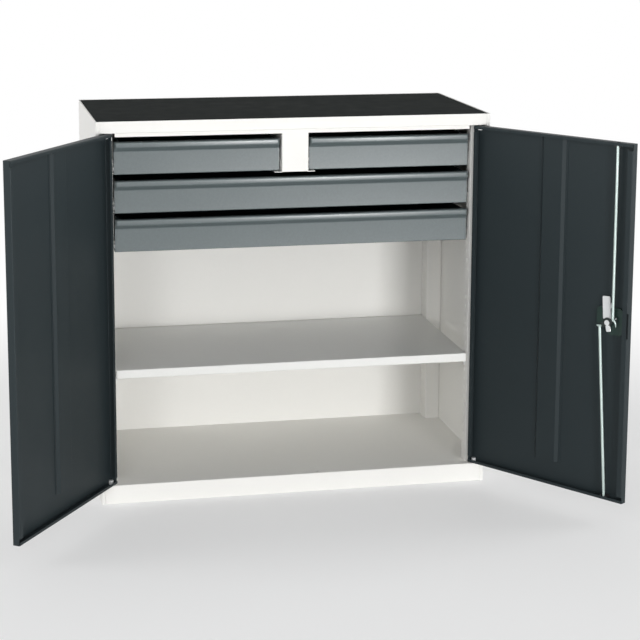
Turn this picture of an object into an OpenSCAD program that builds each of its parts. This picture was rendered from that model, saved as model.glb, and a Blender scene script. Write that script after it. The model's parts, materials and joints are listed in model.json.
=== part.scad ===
// Steel tool cabinet with two swing doors, four drawers and one shelf.
// Frame: X to the right, Y from the front plane to the back, Z up from the floor.
// The doors are drawn swung open and the drawers are drawn pushed in.

/* [Body] */
// Overall width of the body
body_w = 1030; // [1000:5:1200]
// Overall depth of the body
body_d = 500; // [490:5:650]
// Overall height of the body
body_h = 1000; // [985:5:1150]
// Thickness of the body's sheet steel
sheet = 1.5; // [1.2:0.1:1.8]
// Radius of every fold, at the middle of the sheet
bend_r = 1.6; // [1.2:0.1:2]
// Width of the narrow lip that frames each door at the side
side_lip_w = 10; // [8:0.5:12]
// Depth of the rebate that the door's hinge edge turns in
rebate_d = 26; // [25.5:0.5:30]
// Width of the front post that stands behind the door's edge
post_w = 34; // [28:1:40]
// Depth of the post's inner return, which carries runners and clips
post_return_d = 34; // [30:1:50]
// Width of the side panel's flange behind the back panel
rear_flange_w = 20; // [12:1:30]
// Depth of the rear uprights
upright_d = 57; // [40:1:80]
// Height of the front rail above the doors
rail_h = 30; // [26:1:40]
// Depth from the front to the door stop lip
rail_d = 22; // [21.5:0.5:24]
// Height of the door stop lip
stop_lip_h = 12; // [8:1:13]
// Height of the plinth below the doors
plinth_h = 50; // [40:1:60]
// Depth of the plinth's return on the floor
plinth_return = 25; // [15:1:40]

/* [Top mat] */
// Depth of the tray that holds the rubber mat
tray_h = 3.5; // [3:0.5:5]
// Thickness of the rubber mat
mat_t = 3; // [2:0.5:3]
// Gap between the mat and the tray's rim
mat_gap = 0.5; // [0.3:0.1:1.5]

/* [Slots and shelf] */
// Spacing of the slots for shelf clips
slot_pitch = 25; // [20:5:40]
// Height of a slot
slot_h = 9; // [7:1:12]
// Width of a slot
slot_w = 5; // [4:0.5:7]
// Distance from a slot's middle to the end of the sheet it is cut in
slot_inset = 14; // [12:1:18]
// Height of the shelf's top above the floor
shelf_z = 350; // [300:25:400]
// Height of the shelf's folded edges
shelf_lip_h = 23; // [18:1:30]
// Thickness of the shelf's sheet
shelf_t = 1.2; // [1:0.1:1.5]
// Gap between the shelf and the posts
shelf_gap = 1.5; // [1:0.5:3]
// Distance of the shelf's front behind the post's face
shelf_setback = 2; // [0:0.5:6]
// Distance of the shelf's back from the back panel
shelf_back_gap = 7; // [3:1:12]

/* [Drawers] */
// Distance from one row of drawers to the next
row_pitch = 100; // [95:1:105]
// Height of a drawer's front
front_h = 85; // [75:1:90]
// Gap between the door stop lip and the first drawer's front
top_gap = 14; // [8:1:16]
// Gap at each side of a drawer's front
front_gap = 4.5; // [3:0.5:5]
// Distance from the front plane to the drawers' faces
front_y = 40; // [38:1:44]
// How far the grip stands out from the drawer's face
grip_d = 15; // [10:0.5:15]
// Height of the grip's upright band
grip_h = 15; // [10:1:20]
// Height over which the grip curves back to the face
grip_slope_h = 12; // [8:1:16]
// Depth of the return along the front's bottom edge
front_return = 11; // [6:1:14]
// Height of the hook over the drawer's front wall
hook_h = 9; // [6:1:14]
// Thickness of the drawers' sheet
drawer_t = 1; // [0.8:0.1:1.2]
// Height of the drawer's floor above the bottom of its front
box_lift = 12; // [11:0.5:14]
// Width of the rolled rim on the drawer's walls
box_rim = 8; // [5:0.5:12]
// Gap behind the drawers
box_back_gap = 17; // [8:1:30]
// Space between drawer and wall for a runner
runner_space = 12.5; // [12:0.5:14]
// Width of the partition between the upper drawers
partition_w = 70; // [60:1:80]
// Width of the partition's feet
partition_foot = 18; // [12:1:22]
// Gap between the door stop lip and the partition
partition_gap = 1.5; // [1:0.5:2]
// Gap between the partition's feet and the fronts above them
foot_gap = 1.8; // [1.5:0.1:3]

/* [Roller runners] */
// Thickness of the runners' sheet
runner_t = 1.2; // [1:0.1:1.3]
// Width of the flanges of a cabinet runner
runner_flange = 9.5; // [9:0.1:9.8]
// Height of a cabinet runner's bottom above the drawer front's bottom
runner_lift = 2; // [1.5:0.5:3]
// Distance of the runners behind the drawers' faces
runner_setback = 5; // [4:0.5:8]
// Radius of a roller
roller_r = 10; // [9:0.5:10.5]
// Width of a roller
roller_w = 6; // [5:0.5:6.5]
// Radius of a roller's axle
axle_r = 2.5; // [2:0.1:3.5]
// Gap between a roller and what it rolls past
roller_gap = 0.3; // [0.2:0.05:0.5]
// Radial clearance of rollers, pins and shafts in their bores
fit = 0.05; // [0.02:0.01:0.08]
// Gap above the drawer runner's flange
runner_head = 2; // [1.5:0.5:3]

/* [Doors] */
// Gap between a door and the body at its hinge side
door_gap = 3; // [2.5:0.5:4]
// Gap above and below a door
door_gap_z = 2; // [2:0.1:3]
// Gap between the two closed doors
meeting_gap = 3; // [2:0.5:6]
// Thickness of a door from its face to its inner lips
door_t = 20; // [19.5:0.5:20]
// Thickness of the doors' sheet
door_sheet = 1; // [0.8:0.1:1.2]
// Width of the inner lip at the hinge side
hinge_lip = 12.5; // [9:0.5:16]
// Width of the inner lip at the free side
free_lip = 15; // [10:0.5:20]
// Width of the inner lips at the top and the bottom
end_lip = 8; // [6:0.5:12]
// Length by which the upright lips stop short of the door's ends
lip_notch = 17; // [12:1:24]
// Distance of the pivot from the door's hinge edge
pin_inset = 12; // [11:0.5:13]
// Distance of the pivot behind the door's face
pin_y = 7; // [6.5:0.5:7.5]
// Radius of a hinge pin
pin_r = 3.5; // [3:0.1:3.8]
// Radius of the boss that carries a hinge pin
pin_boss_r = 6; // [5:0.1:6]
// Length of the boss that carries a hinge pin
pin_boss_h = 10; // [6:1:14]
// Wall of a hinge bush
bush_wall = 1.1; // [0.8:0.1:1.2]
// Width of a hinge bush's flange around its sleeve
bush_flange = 1.9; // [1:0.1:2]
// Gap between a door's end and the hinge bush's flange
bush_gap = 0.3; // [0.2:0.05:0.5]
// Length of the hinge pin beyond the door
pin_reach = 8; // [6:0.5:12]
// Angle of the left door from closed, as drawn
left_open = 123; // [0:1:127]
// Angle of the right door from closed, as drawn
right_open = 124; // [0:1:127]
// Width of the stiffener's base
rib_w = 74; // [50:1:100]
// Height of the stiffener
rib_h = 7; // [4:0.5:10]
// Width of the stiffener's sloping sides
rib_slope = 8; // [5:0.5:12]
// Width of the stiffener's foot flanges
rib_foot = 7; // [4:0.5:12]
// Distance from the door's top to the stiffener
rib_top_gap = 6; // [4:1:40]
// Distance from the door's bottom to the stiffener
rib_bottom_gap = 60; // [20:1:90]

/* [Lock] */
// Distance of the handle's shaft from the door's free edge
lock_backset = 66; // [60:1:80]
// Height of the handle's shaft above the floor
lock_z = 510; // [450:5:560]
// Radius from the shaft to the pins of the rods
ear_r = 22; // [18:0.5:22]
// Angle of the upper rod's ear above the level, unlocked
ear_rise = 28; // [15:1:35]
// Lean of the cam's tail towards the free edge
tail_lean = 12; // [0:1:30]
// Radius of a locking rod
rod_r = 3.5; // [3:0.1:3.6]
// Depth of the rods' middle behind the door's face
rod_y = 14.9; // [14.7:0.1:15]
// Gap from the end of each rod to the door's end, unlocked
rod_inset = 4; // [3:0.5:6]
// Distance of the upper rod's guide from the free edge
upper_guide_x = 48; // [44:1:52]
// Distance of the lower rod's guide from the free edge
lower_guide_x = 55.5; // [52:0.5:60]
// Sideways play that the rods need while they turn
rod_sway = 3; // [2.5:0.1:5]
// Gap around the rods in their guides and holes
rod_gap = 0.4; // [0.3:0.1:0.6]
// Radius of a rod's hooked pin
hook_r = 3; // [2.5:0.1:3.2]
// Thickness of the cam
cam_t = 2.5; // [2:0.1:2.5]
// Depth of the lock's moulded case
case_t = 5.4; // [4.5:0.1:5.4]
// Thickness of the bracket that holds the case
bracket_t = 1.9; // [1.5:0.1:1.9]
// Width of the bracket
bracket_w = 23; // [18:1:28]
// Length of the bracket
bracket_l = 59; // [45:1:70]
// Lean of the bracket towards the hinge side
bracket_lean = 3.5; // [0:0.5:6]
// Side of the square shaft
shaft_w = 8; // [6:0.5:9]
// Length of the handle's grip from the shaft
grip_l = 112; // [90:1:130]
// Height of the plate behind the handle
plate_h = 130; // [110:1:150]
// Width of the plate behind the handle
plate_w = 38; // [34:1:44]
// Thickness of the plate behind the handle
plate_t = 4; // [3:0.5:5]
// Radius of the key cylinder
cylinder_r = 8.5; // [7:0.5:10]
// Height of the key cylinder above the shaft
cylinder_up = 42; // [36:1:48]

/* [Hidden] */

$fn = 48;
fold_steps = 3;
eps = 0.01;

white = [0.93, 0.92, 0.9];
pale_grey = [0.84, 0.84, 0.83];
anthracite = [0.19, 0.21, 0.22];
drawer_grey = [0.42, 0.45, 0.46];
mat_black = [0.14, 0.15, 0.16];
zinc = [0.85, 0.86, 0.87];
black_zinc = [0.24, 0.26, 0.26];
case_green = [0.06, 0.14, 0.12];
bearing_steel = [0.66, 0.67, 0.68];
handle_black = [0.08, 0.08, 0.09];

// The body's main planes
half_w = body_w / 2;
skin_x = half_w - sheet;
lip_x = half_w - side_lip_w;
post_x = lip_x - post_w;
post_back_y = rebate_d + post_return_d;
back_y = body_d - sheet;
back_face_y = back_y - sheet;
upright_y = back_face_y - upright_d;
tray_z = body_h - tray_h;
ceiling_z = tray_z - sheet;
rail_z = body_h - rail_h;
stop_z = rail_z - stop_lip_h;
partition_y = rail_d + sheet + partition_gap;

// Slots for the clips stand on a grid that the shelf's lower edge belongs to
shelf_seat_z = shelf_z - shelf_lip_h;
first_slot_z = shelf_seat_z - slot_pitch * floor((shelf_seat_z - plinth_h - slot_pitch) / slot_pitch);
slot_count = floor((stop_z - slot_pitch - first_slot_z) / slot_pitch) + 1;
front_slot_y = post_back_y - slot_inset;
rear_slot_y = back_face_y - slot_inset;

// Drawers: the walls that carry each one's runners, and its row
half_p = partition_w / 2;
DRAWERS = [
    [-post_x, -half_p, 0],
    [half_p, post_x, 0],
    [-post_x, post_x, 1],
    [-post_x, post_x, 2]
];
function wall_a(i) = DRAWERS[i][0];
function wall_b(i) = DRAWERS[i][1];
function front_z(i) = stop_z - top_gap - front_h - DRAWERS[i][2] * row_pitch;
function box_z(i) = front_z(i) + box_lift;
box_h = front_h - box_lift - drawer_t;
box_y = front_y + drawer_t;
box_back_y = back_face_y - box_back_gap;
runner_y = front_y + runner_setback;
runner_back_y = box_back_y - 10;

// Runner section, measured up from the drawer front's bottom
roller_up = runner_lift + runner_t + roller_gap + roller_r;
slide_up = roller_up + roller_r + roller_gap;
runner_top_up = slide_up + runner_t + runner_head + runner_t;
axle_in = runner_space / 2 - 0.4;
front_roller_y = runner_y + roller_r + 1;
rear_roller_y = box_back_y - roller_r - 2;

// Doors in their closed place; the left door is a mirror image of the right one
door_z0 = plinth_h + door_gap_z;
door_z1 = rail_z - door_gap_z;
door_x0 = meeting_gap / 2;
door_x1 = lip_x - door_gap;
door_mid_x = (door_x0 + door_x1) / 2;
pin_x = door_x1 - pin_inset;
bush_r = pin_r + fit + bush_wall;

// Lock, in the closed right door
lock_x = door_x0 + lock_backset;
case_y = door_sheet + case_t;
bracket_y = case_y + bracket_t;
cam_y = bracket_y + 0.3;
cam_back_y = cam_y + cam_t;
rod_front_y = rod_y - rod_r;
upper_pin = [lock_x - ear_r * cos(ear_rise), lock_z + ear_r * sin(ear_rise)];
lower_pin = [lock_x + ear_r * cos(ear_rise), lock_z - ear_r * sin(ear_rise)];
upper_guide = [door_x0 + upper_guide_x, door_z1 - door_sheet];
lower_guide = [door_x0 + lower_guide_x, door_z0 + door_sheet];
cylinder_z = lock_z + cylinder_up;
shaft_hole_r = shaft_w * 0.75 + 1;
screw_up = 12;
screw_r = 3.2;

// ---------------------------------------------------------------- sheet metal

function polar(r, a) = [r * cos(a), r * sin(a)];
function heading(a, b) = atan2(b.y - a.y, b.x - a.x);
function wrap(a) = a > 180 ? a - 360 : (a < -180 ? a + 360 : a);

// One fold at b: pairs of points on the drawn face and on the other face of the sheet
function fold(a, b, c, t, r) =
    let (
        start = heading(a, b),
        turn = wrap(heading(b, c) - start),
        side = sign(turn),
        face_r = r + side * t / 2,
        centre = b - polar(face_r * tan(abs(turn) / 2), start) + polar(side * face_r, start + 90)
    )
    [for (k = [0 : fold_steps])
        let (across = start + turn * k / fold_steps + 90)
        [centre + polar(-side * face_r, across), centre + polar(t - side * face_r, across)]
    ];

// Outline of a folded sheet: its drawn face follows p and its thickness t lies to the left
function sheet_outline(p, t, r) =
    let (
        n = len(p),
        first = [p[0], p[0] + polar(t, heading(p[0], p[1]) + 90)],
        last = [p[n - 1], p[n - 1] + polar(t, heading(p[n - 2], p[n - 1]) + 90)],
        folds = n > 2 ? [for (i = [1 : n - 2]) each fold(p[i - 1], p[i], p[i + 1], t, r)] : [],
        pairs = concat([first], folds, [last])
    )
    concat([for (q = pairs) q[0]], [for (k = [len(pairs) - 1 : -1 : 0]) pairs[k][1]]);

// Radius at the middle of the sheet, never tighter than the sheet's thickness allows
function fold_r(t) = max(bend_r, abs(t) / 2 + 0.2);

module folded(p, t) {
    polygon(sheet_outline(p, t, fold_r(t)));
}

// Extrusions of a drawing along each axis: (y, z) along X, (x, z) along Y and (x, y) along Z
module along_x(x0, x1) {
    translate([x0, 0, 0])
        rotate([90, 0, 90])
            linear_extrude(x1 - x0)
                children();
}

module along_y(y0, y1) {
    translate([0, y1, 0])
        rotate([90, 0, 0])
            linear_extrude(y1 - y0)
                children();
}

module along_z(z0, z1) {
    translate([0, 0, z0])
        linear_extrude(z1 - z0)
            children();
}

module block(a, b) {
    translate(a)
        cube(b - a);
}

module disc_y(x, z, r, y0, y1) {
    translate([x, y1, z])
        rotate([90, 0, 0])
            cylinder(r = r, h = y1 - y0);
}

module disc_x(y, z, r, x0, x1) {
    translate([x0, y, z])
        rotate([0, 90, 0])
            cylinder(r = r, h = x1 - x0);
}

module rounded_rect(w, h, r) {
    square([w - 2 * r, h], center = true);
    square([w, h - 2 * r], center = true);
    for (x = [-1, 1], y = [-1, 1])
        translate([x * (w / 2 - r), y * (h / 2 - r)])
            circle(r);
}

// Round-ended slot from a to b, both on one level
module slot_2d(a, b, r) {
    translate([a, 0])
        circle(r);
    translate([b, 0])
        circle(r);
    translate([a, -r])
        square([b - a, 2 * r]);
}

module both_sides() {
    children();
    mirror([1, 0, 0])
        children();
}

// ---------------------------------------------------------------- body

// Row of clip slots through a sheet whose face stands at x
module clip_slots(x, y) {
    for (k = [0 : slot_count - 1])
        block([x - sheet * 2, y - slot_w / 2, first_slot_z + k * slot_pitch - slot_h / 2],
              [x + sheet * 2, y + slot_w / 2, first_slot_z + k * slot_pitch + slot_h / 2]);
}

// Left side panel: rear flange, skin, front lip, door rebate and front post in one folded sheet
module side_panel() {
    skin = [[-half_w + rear_flange_w, body_d], [-half_w, body_d], [-half_w, 0], [-lip_x, 0]];
    post = [[-lip_x, rebate_d], [-post_x, rebate_d], [-post_x, post_back_y]];
    color(white)
        difference() {
            union() {
                along_z(0, ceiling_z)
                    folded(concat(skin, post), sheet);
                along_z(ceiling_z, body_h)
                    folded(skin, sheet);
            }
            clip_slots(-post_x, front_slot_y);
        }
}

// Left rear upright: an angle that stands on the floor panel in the rear corner
module rear_upright() {
    flange = 15;
    path = [
        [-skin_x, upright_y + flange], [-skin_x, upright_y], [-post_x, upright_y],
        [-post_x, back_face_y], [-post_x - flange, back_face_y]
    ];
    color(white)
        difference() {
            along_z(plinth_h, ceiling_z)
                folded(path, sheet);
            clip_slots(-post_x, rear_slot_y);
        }
}

module back_panel() {
    color(white)
        block([bend_r - skin_x, back_face_y, 0], [skin_x - bend_r, back_y, body_h]);
}

module top_panel() {
    color(white)
        difference() {
            block([-skin_x, sheet, ceiling_z], [skin_x, back_face_y, body_h]);
            block([-skin_x + sheet, 2 * sheet, tray_z],
                  [skin_x - sheet, back_face_y - sheet, body_h + 1]);
        }
}

module top_mat() {
    inset = sheet + mat_gap;
    color(mat_black)
        along_z(tray_z, tray_z + mat_t)
            translate([0, (sheet + back_face_y) / 2])
                rounded_rect(2 * (skin_x - inset), back_face_y - sheet - 2 * inset, 2);
}

// Holes for a hinge bush and for a locking rod through the rail and the plinth's ledge
module pivot_holes(z) {
    for (side = [-1, 1])
        translate([side * pin_x, pin_y, z - 5])
            cylinder(r = bush_r, h = 10);
}

module rod_hole(x, side, z) {
    translate([x, rod_y, z - 5])
        linear_extrude(10)
            slot_2d(min(0, side * rod_sway), max(0, side * rod_sway), rod_r + rod_gap);
}

module front_rail() {
    path = [[0, body_h], [0, rail_z], [rail_d, rail_z], [rail_d, stop_z]];
    color(white)
        difference() {
            along_x(-lip_x, lip_x)
                folded(path, sheet);
            both_sides()
                block([post_x - 6, rail_d - 4, stop_z - 1], [lip_x + 1, rail_d + 4, rail_z]);
            pivot_holes(rail_z);
            rod_hole(upper_guide.x, -1, rail_z);
        }
}

module plinth() {
    path = [[plinth_return, 0], [0, 0], [0, plinth_h], [rebate_d, plinth_h]];
    color(white)
        difference() {
            along_x(-lip_x, lip_x)
                folded(path, -sheet);
            pivot_holes(plinth_h);
            rod_hole(lower_guide.x, 1, plinth_h);
        }
}

module floor_panel() {
    lip_z = plinth_h - 20;
    path = [[rebate_d, lip_z], [rebate_d, plinth_h], [back_face_y, plinth_h]];
    color(white)
        difference() {
            along_x(-skin_x, skin_x)
                folded(path, -sheet);
            both_sides()
                block([post_x, rebate_d - 1, lip_z - 1], [half_w, post_back_y, plinth_h + 1]);
        }
}

// Channel between the upper drawers, with a foot on each side, hung from the top panel
module centre_partition() {
    foot_z = front_z(0) - foot_gap;
    path = [[-half_p, box_back_y], [-half_p, partition_y], [half_p, partition_y], [half_p, box_back_y]];
    color(white) {
        along_z(foot_z, ceiling_z)
            folded(path, sheet);
        both_sides()
            block([half_p - sheet, partition_y + 3, foot_z - sheet],
                  [half_p + partition_foot, box_back_y, foot_z]);
    }
}

module shelf() {
    x1 = post_x - shelf_gap;
    y0 = rebate_d + shelf_setback;
    y1 = back_face_y - shelf_back_gap;
    path = [
        [y0 + 10, shelf_seat_z], [y0, shelf_seat_z], [y0, shelf_z], [y1, shelf_z], [y1, shelf_seat_z]
    ];
    color(pale_grey) {
        along_x(-x1, x1)
            folded(path, -shelf_t);
        both_sides()
            block([x1 - shelf_t, y0 + 11, shelf_seat_z], [x1, y1 - shelf_t, shelf_z - shelf_t]);
    }
}

// Clip with a tongue through a slot and a hook behind the sheet, under the shelf's side
module clip(y) {
    side = slot_w / 2 - 0.5;
    t = 2;
    hook_x = post_x + sheet;
    plate_r = 6;
    color(zinc) {
        block([post_x - 2 * plate_r, y - side, shelf_seat_z - 3], [hook_x + t, y + side, shelf_seat_z]);
        block([hook_x, y - side, shelf_seat_z - 9], [hook_x + t, y + side, shelf_seat_z]);
        block([post_x - t, y - plate_r, shelf_seat_z - 2 * plate_r], [post_x, y + plate_r, shelf_seat_z]);
    }
}

module shelf_clips() {
    both_sides()
        for (y = [front_slot_y, rear_slot_y])
            clip(y);
}

module bush(z, up) {
    reach = door_gap_z - bush_gap;
    translate([pin_x, pin_y, z])
        mirror([0, 0, up ? 0 : 1])
            difference() {
                union() {
                    translate([0, 0, -reach])
                        cylinder(r = bush_r + bush_flange, h = reach);
                    cylinder(r = bush_r, h = 5);
                }
                translate([0, 0, -reach - 1])
                    cylinder(r = pin_r + fit, h = 12);
            }
}

module hinge_bushes() {
    color(handle_black)
        both_sides() {
            bush(rail_z, true);
            bush(plinth_h, false);
        }
}

// ---------------------------------------------------------------- runners and rollers

// Draws its children for the left wall, facing +X from x = 0, then mirrored at the right wall
module at_walls(i) {
    translate([wall_a(i), 0, 0])
        children();
    translate([wall_b(i), 0, 0])
        mirror([1, 0, 0])
            children();
}

module cabinet_runners(i) {
    z0 = front_z(i) + runner_lift;
    z1 = front_z(i) + runner_top_up;
    roller_z = front_z(i) + roller_up;
    path = [[runner_flange, z0], [0, z0], [0, z1], [runner_flange, z1]];
    color(white)
        at_walls(i) {
            along_y(runner_y, runner_back_y)
                folded(path, -runner_t);
            disc_x(front_roller_y, roller_z, axle_r, runner_t - eps, axle_in + roller_w / 2 + 0.4);
        }
}

module front_rollers(i) {
    roller_z = front_z(i) + roller_up;
    color(bearing_steel)
        at_walls(i)
            difference() {
                disc_x(front_roller_y, roller_z, roller_r,
                       axle_in - roller_w / 2, axle_in + roller_w / 2);
                disc_x(front_roller_y, roller_z, axle_r + fit, 0, runner_space);
            }
}

// Drawer member: a web on the drawer's side and a flange that runs on the front roller
module drawer_slides(i) {
    z0 = box_z(i);
    z1 = front_z(i) + slide_up;
    web_x = runner_space - runner_t;
    roller_z = front_z(i) + roller_up;
    color(white)
        at_walls(i) {
            along_y(box_y + 2, box_back_y - 1)
                folded([[runner_space, z0], [runner_space, z1 + runner_t], [runner_t + 0.6, z1 + runner_t]],
                       runner_t);
            disc_x(rear_roller_y, roller_z, axle_r, axle_in - roller_w / 2 - 0.4, web_x + eps);
        }
}

module rear_rollers(i) {
    roller_z = front_z(i) + roller_up;
    color(bearing_steel)
        at_walls(i)
            difference() {
                disc_x(rear_roller_y, roller_z, roller_r,
                       axle_in - roller_w / 2, axle_in + roller_w / 2);
                disc_x(rear_roller_y, roller_z, axle_r + fit, 0, runner_space);
            }
}

// ---------------------------------------------------------------- drawers

// Front with a full-width grip, one folded sheet closed by a plate at each end
module drawer_front(i) {
    x0 = wall_a(i) + front_gap;
    x1 = wall_b(i) - front_gap;
    z0 = front_z(i);
    z1 = z0 + front_h;
    hook_y = box_y + 2 * drawer_t;
    grip_y = front_y - grip_d;
    rise = [
        [front_y + front_return, z0], [front_y, z0], [front_y, z1 - grip_h - grip_slope_h],
        [grip_y, z1 - grip_h], [grip_y, z1]
    ];
    plain = concat(rise, [[box_y, z1]]);
    hooked = concat(rise, [[hook_y, z1], [hook_y, z1 - hook_h]]);
    rim_x0 = wall_a(i) + runner_space + box_rim;
    rim_x1 = wall_b(i) - runner_space - box_rim;
    color(drawer_grey) {
        along_x(x0 + drawer_t, rim_x0)
            folded(plain, -drawer_t);
        along_x(rim_x0, rim_x1)
            folded(hooked, -drawer_t);
        along_x(rim_x1, x1 - drawer_t)
            folded(plain, -drawer_t);
        for (x = [x0, x1 - drawer_t])
            along_x(x, x + drawer_t)
                polygon(concat(sheet_outer(plain), [[hook_y, z1], [hook_y, z0]]));
    }
}

// Outer face of a drawer front's sheet from its bottom fold to its top one
function sheet_outer(p) =
    [for (i = [1 : len(p) - 2]) for (q = fold(p[i - 1], p[i], p[i + 1], -drawer_t, fold_r(drawer_t))) q[0]];

module drawer_box(i) {
    x0 = wall_a(i) + runner_space;
    x1 = wall_b(i) - runner_space;
    z0 = box_z(i);
    z1 = z0 + box_h;
    path = [[x0 + box_rim, z1], [x0, z1], [x0, z0], [x1, z0], [x1, z1], [x1 - box_rim, z1]];
    color(anthracite) {
        along_y(box_y + drawer_t, box_back_y - drawer_t)
            folded(path, drawer_t);
        block([x0, box_y, z0], [x1, box_y + drawer_t, z1 - bend_r]);
        block([x0, box_back_y - drawer_t, z0], [x1, box_back_y, z1]);
    }
}

// ---------------------------------------------------------------- doors

// Turns a closed right door about its pivot to its drawn angle
module swing_right() {
    translate([pin_x, pin_y, 0])
        rotate([0, 0, right_open])
            translate([-pin_x, -pin_y, 0])
                children();
}

module swing_left() {
    mirror([1, 0, 0])
        translate([pin_x, pin_y, 0])
            rotate([0, 0, left_open])
                translate([-pin_x, -pin_y, 0])
                    children();
}

// Folded tray: the face with its two upright flanges and lips, and a folded plate at each end
module door_tray() {
    path = [
        [door_x1 - hinge_lip, door_t], [door_x1, door_t], [door_x1, 0],
        [door_x0, 0], [door_x0, door_t], [door_x0 + free_lip, door_t]
    ];
    top = [[door_sheet, door_z1], [door_t, door_z1], [door_t, door_z1 - end_lip]];
    bottom = [[door_t, door_z0 + end_lip], [door_t, door_z0], [door_sheet, door_z0]];
    lip_y = door_t - bend_r - door_sheet;
    difference() {
        along_z(door_z0, door_z1)
            folded(path, -door_sheet);
        for (z = [door_z0 - 1, door_z1 - lip_notch])
            block([door_x0 - 1, lip_y, z], [door_x1 + 1, door_t + 1, z + lip_notch + 1]);
    }
    along_x(door_x0 + door_sheet, door_x1 - door_sheet) {
        folded(top, -door_sheet);
        folded(bottom, -door_sheet);
    }
}

module pin_holes() {
    for (z = [door_z0, door_z1])
        translate([pin_x, pin_y, z - 5])
            cylinder(r = pin_r, h = 10);
}

// Hat-shaped stiffener on the inside of the door's face
module stiffener() {
    x0 = door_mid_x - rib_w / 2;
    x1 = door_mid_x + rib_w / 2;
    y0 = door_sheet;
    y1 = door_sheet + rib_h;
    path = [
        [x0 - rib_foot, y0], [x0, y0], [x0 + rib_slope, y1 - door_sheet],
        [x1 - rib_slope, y1 - door_sheet], [x1, y0], [x1 + rib_foot, y0]
    ];
    z0 = door_z0 + rib_bottom_gap;
    z1 = door_z1 - rib_top_gap;
    color(anthracite) {
        along_z(z0, z1)
            folded(path, door_sheet);
        along_z(z0 - door_sheet, z0)
            polygon([[x0, y0], [x1, y0], [x1 - rib_slope, y1], [x0 + rib_slope, y1]]);
    }
}

// Pivot pins, each in a boss welded behind the door's end
module hinge_pins() {
    length = pin_boss_h + door_sheet + pin_reach;
    color(zinc) {
        translate([pin_x, pin_y, door_z1 - door_sheet - pin_boss_h]) {
            cylinder(r = pin_boss_r, h = pin_boss_h);
            cylinder(r = pin_r, h = length);
        }
        translate([pin_x, pin_y, door_z0 + door_sheet]) {
            cylinder(r = pin_boss_r, h = pin_boss_h);
            translate([0, 0, pin_boss_h - length])
                cylinder(r = pin_r, h = length);
        }
    }
}

module left_door_leaf() {
    color(anthracite)
        swing_left()
            difference() {
                door_tray();
                pin_holes();
            }
}

module right_door_leaf() {
    notch_h = 65;
    color(anthracite)
        swing_right()
            difference() {
                door_tray();
                pin_holes();
                block([door_x0 - 1, door_t - 5, lock_z + 2 - notch_h / 2],
                      [door_x0 + 3, door_t + 1, lock_z + 2 + notch_h / 2]);
                rod_hole(upper_guide.x, -1, upper_guide.y);
                rod_hole(lower_guide.x, 1, lower_guide.y);
                disc_y(lock_x, lock_z, shaft_hole_r, -1, 2);
                disc_y(lock_x, cylinder_z, cylinder_r + 1, -1, 2);
            }
}

// ---------------------------------------------------------------- lock

module lock_case() {
    tall_w = 48;
    tall_h = 70;
    wide_w = 42;
    wide_h = 49;
    corner = 12;
    color(case_green)
        swing_right()
            difference() {
                along_y(door_sheet, case_y)
                    difference() {
                        union() {
                            translate([lock_x - 20, lock_z + 5])
                                rounded_rect(tall_w, tall_h, corner);
                            translate([lock_x + 14, lock_z + 14])
                                rounded_rect(wide_w, wide_h, corner);
                        }
                        translate([lock_x, lock_z])
                            circle(shaft_hole_r);
                        bracket_place(screw_up)
                            circle(screw_r);
                    }
                disc_y(lock_x, cylinder_z, cylinder_r + 1, 0, case_y + 1);
            }
}

// Draws its children in the bracket's frame, at a height above its lower end
module bracket_place(up) {
    translate([lock_x + 3, lock_z + 8])
        rotate(-bracket_lean)
            translate([0, up])
                children();
}

module lock_bracket() {
    color(zinc)
        swing_right()
            along_y(case_y, bracket_y)
                difference() {
                    bracket_place(bracket_l / 2)
                        rounded_rect(bracket_w, bracket_l, 4);
                    bracket_place(screw_up)
                        circle(screw_r);
                }
}

// Screw from the door's face through the case, flush with the bracket
module lock_screw() {
    color(zinc)
        swing_right()
            along_y(door_sheet, bracket_y)
                bracket_place(screw_up)
                    circle(screw_r);
}

// Cam with two ears for the rods and a short tail
module lock_cam() {
    hub_r = 13;
    tail_w = 14;
    color(black_zinc)
        swing_right()
            along_y(cam_y, cam_back_y)
                translate([lock_x, lock_z])
                    rotate(-ear_rise)
                        difference() {
                            union() {
                                circle(hub_r);
                                rounded_rect(2 * ear_r + 24, hub_r, 6);
                                rotate(ear_rise - tail_lean)
                                    translate([0, -hub_r])
                                        rounded_rect(tail_w, 2 * hub_r, 3);
                            }
                            square(shaft_w, center = true);
                            for (side = [-1, 1])
                                translate([side * ear_r, 0])
                                    circle(hook_r + fit);
                        }
}

module lock_shaft() {
    color(zinc)
        swing_right()
            translate([lock_x, 0, lock_z])
                rotate([0, ear_rise, 0]) {
                    block([-shaft_w / 2, -plate_t - 12, -shaft_w / 2],
                          [shaft_w / 2, cam_back_y, shaft_w / 2]);
                    disc_y(0, 0, 3, cam_back_y - eps, cam_back_y + 3);
                }
}

module shaft_nut() {
    color(zinc)
        swing_right()
            difference() {
                disc_y(lock_x, lock_z, 7, cam_back_y, cam_back_y + 2.3);
                disc_y(lock_x, lock_z, 3, 0, door_t);
            }
}

// A rod with its hooked pin; up is 1 for the upper rod and -1 for the lower one
module lock_rod(pin, guide, tip_z, up) {
    lean = atan((guide.x - pin.x) / (guide.y - pin.y));
    length = (tip_z - pin.y) * up / cos(lean);
    color(zinc)
        swing_right()
            translate([pin.x, rod_y, pin.y]) {
                rotate([0, lean + (up > 0 ? 0 : 180), 0]) {
                    cylinder(r = rod_r, h = length - 3);
                    translate([0, 0, length - 3])
                        cylinder(r1 = rod_r, r2 = rod_r - 1.5, h = 3);
                }
                disc_y(0, 0, rod_r + 2.5, -rod_r, rod_r);
                disc_y(0, 0, hook_r, cam_y - 0.1 - rod_y, 0);
            }
}

module upper_lock_rod() {
    lock_rod(upper_pin, upper_guide, door_z1 - rod_inset, 1);
}

module lower_lock_rod() {
    lock_rod(lower_pin, lower_guide, door_z0 + rod_inset + 1, -1);
}

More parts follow.
